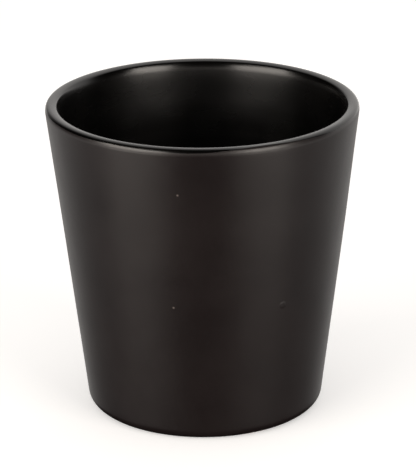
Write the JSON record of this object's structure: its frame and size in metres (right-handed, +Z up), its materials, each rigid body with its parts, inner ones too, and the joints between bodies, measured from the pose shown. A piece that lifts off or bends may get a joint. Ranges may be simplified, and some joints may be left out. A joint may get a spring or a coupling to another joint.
{
  "type": "candle jar",
  "caption": "Empty round ceramic candle jar with a straight tapered wall and a rounded rim, satin black outside and gloss black inside.",
  "frame": {"origin": "on the ground under the middle of the jar, where its axis of revolution meets the plane the foot stands on", "axes": "+Z up along the jar's axis, out of its mouth; the jar is round, so +X and +Y are any two level directions, with +X to the right in the picture's view and +Y away from it"},
  "size_m": [0.09, 0.09, 0.0909],
  "materials": {
    "bare_stoneware": "matte",
    "satin_black_glaze": "satin",
    "gloss_black_glaze": "gloss"
  },
  "bodies": {
    "root": {"clay_body": "bare_stoneware", "outer_glaze": "satin_black_glaze", "inner_glaze": "gloss_black_glaze", "base_glaze": "satin_black_glaze"}
  },
  "joints": []
}
